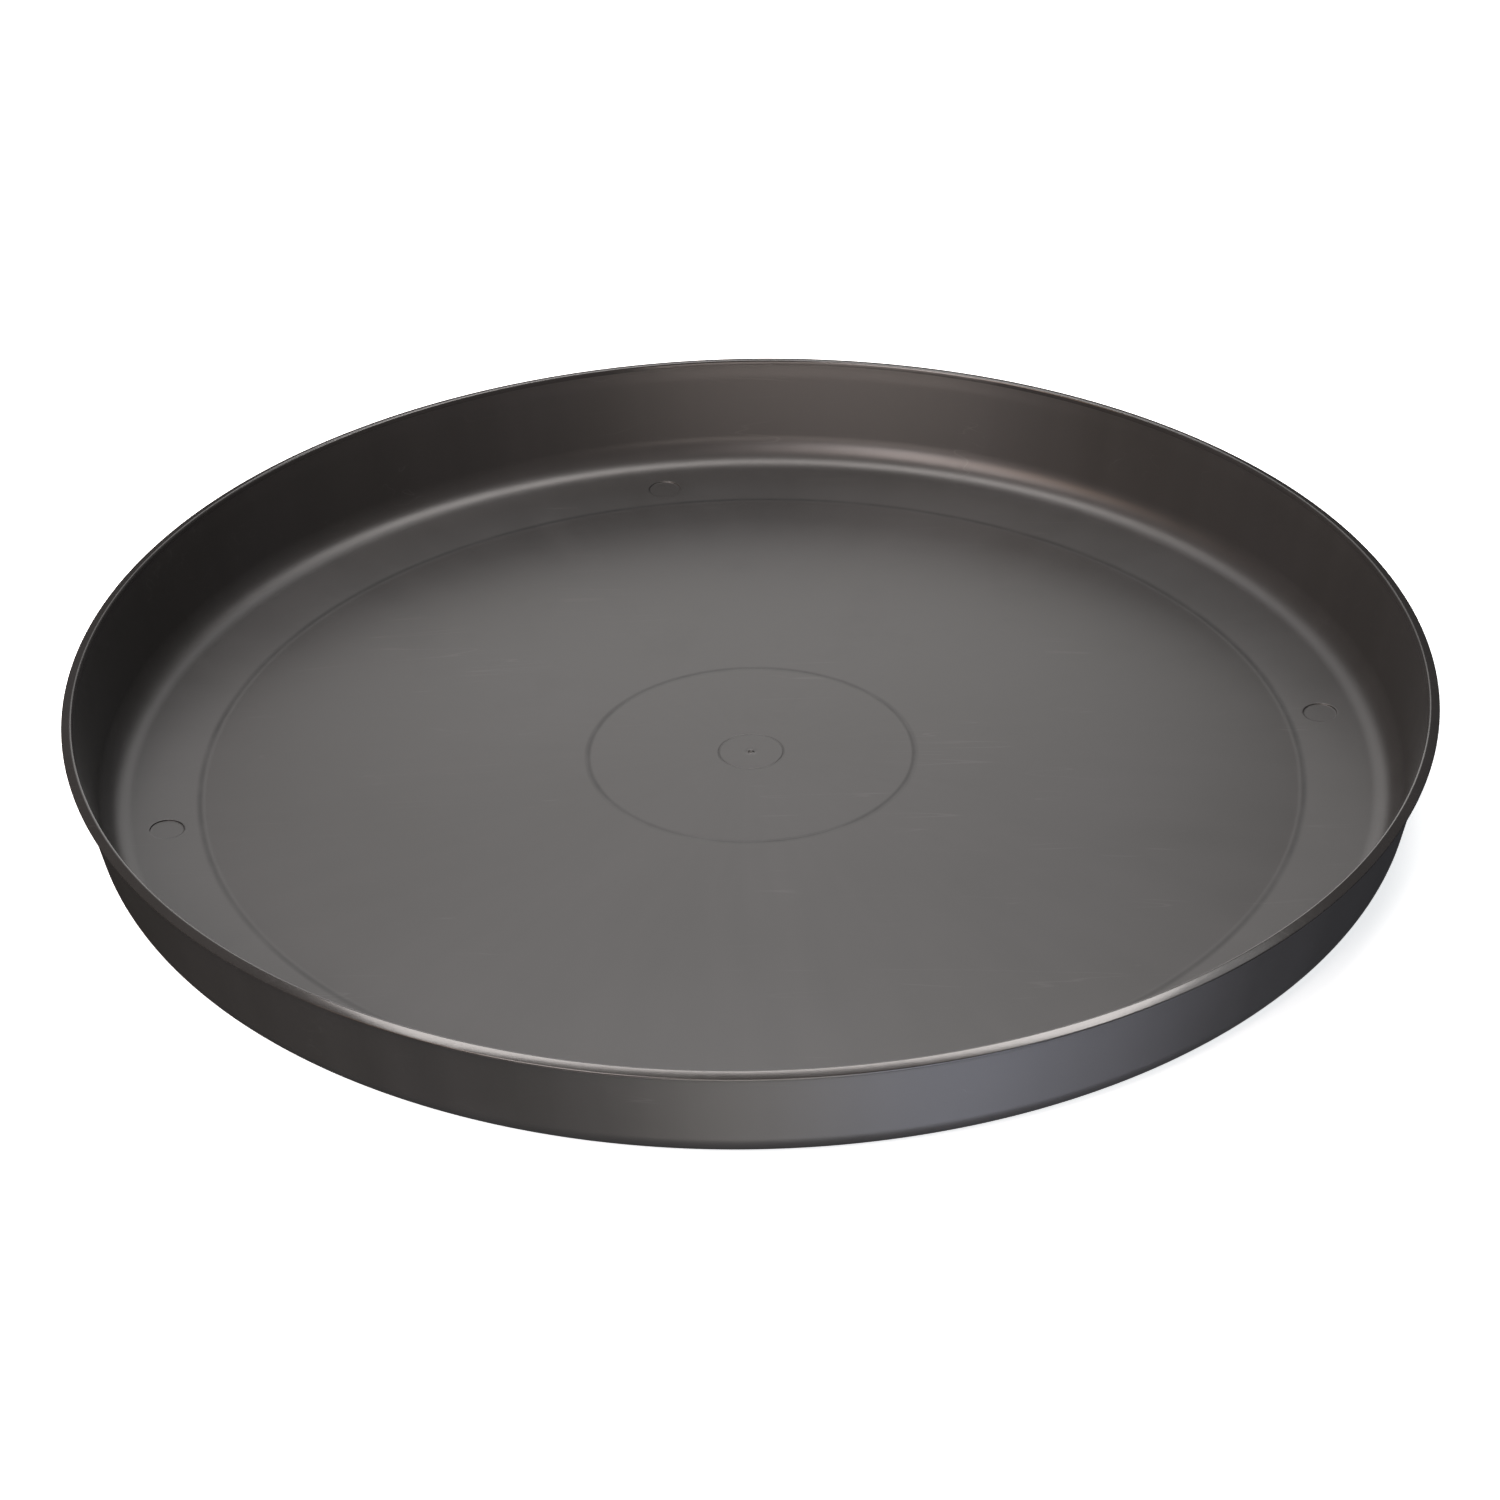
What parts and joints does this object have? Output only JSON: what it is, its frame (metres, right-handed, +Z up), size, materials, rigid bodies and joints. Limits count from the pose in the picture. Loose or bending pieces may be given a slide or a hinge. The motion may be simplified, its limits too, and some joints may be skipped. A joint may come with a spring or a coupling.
{
  "type": "oil drain pan",
  "caption": "Round, wide and shallow moulded drain pan with a crowned floor, coved corner, drafted wall and thin overhanging lip, for catching drained oil.",
  "frame": {"origin": "centre of the base plane, where the pan's axis meets the surface it rests on", "axes": "+Z up along the pan's axis of revolution; +X and +Y in the base plane, with the ejector marks 8.7 degrees past each of them"},
  "size_m": [0.61, 0.61, 0.051],
  "materials": {
    "pan_plastic": "satin charcoal grey, as moulded"
  },
  "bodies": {
    "root": {"pan_body": "pan_plastic"}
  },
  "joints": []
}
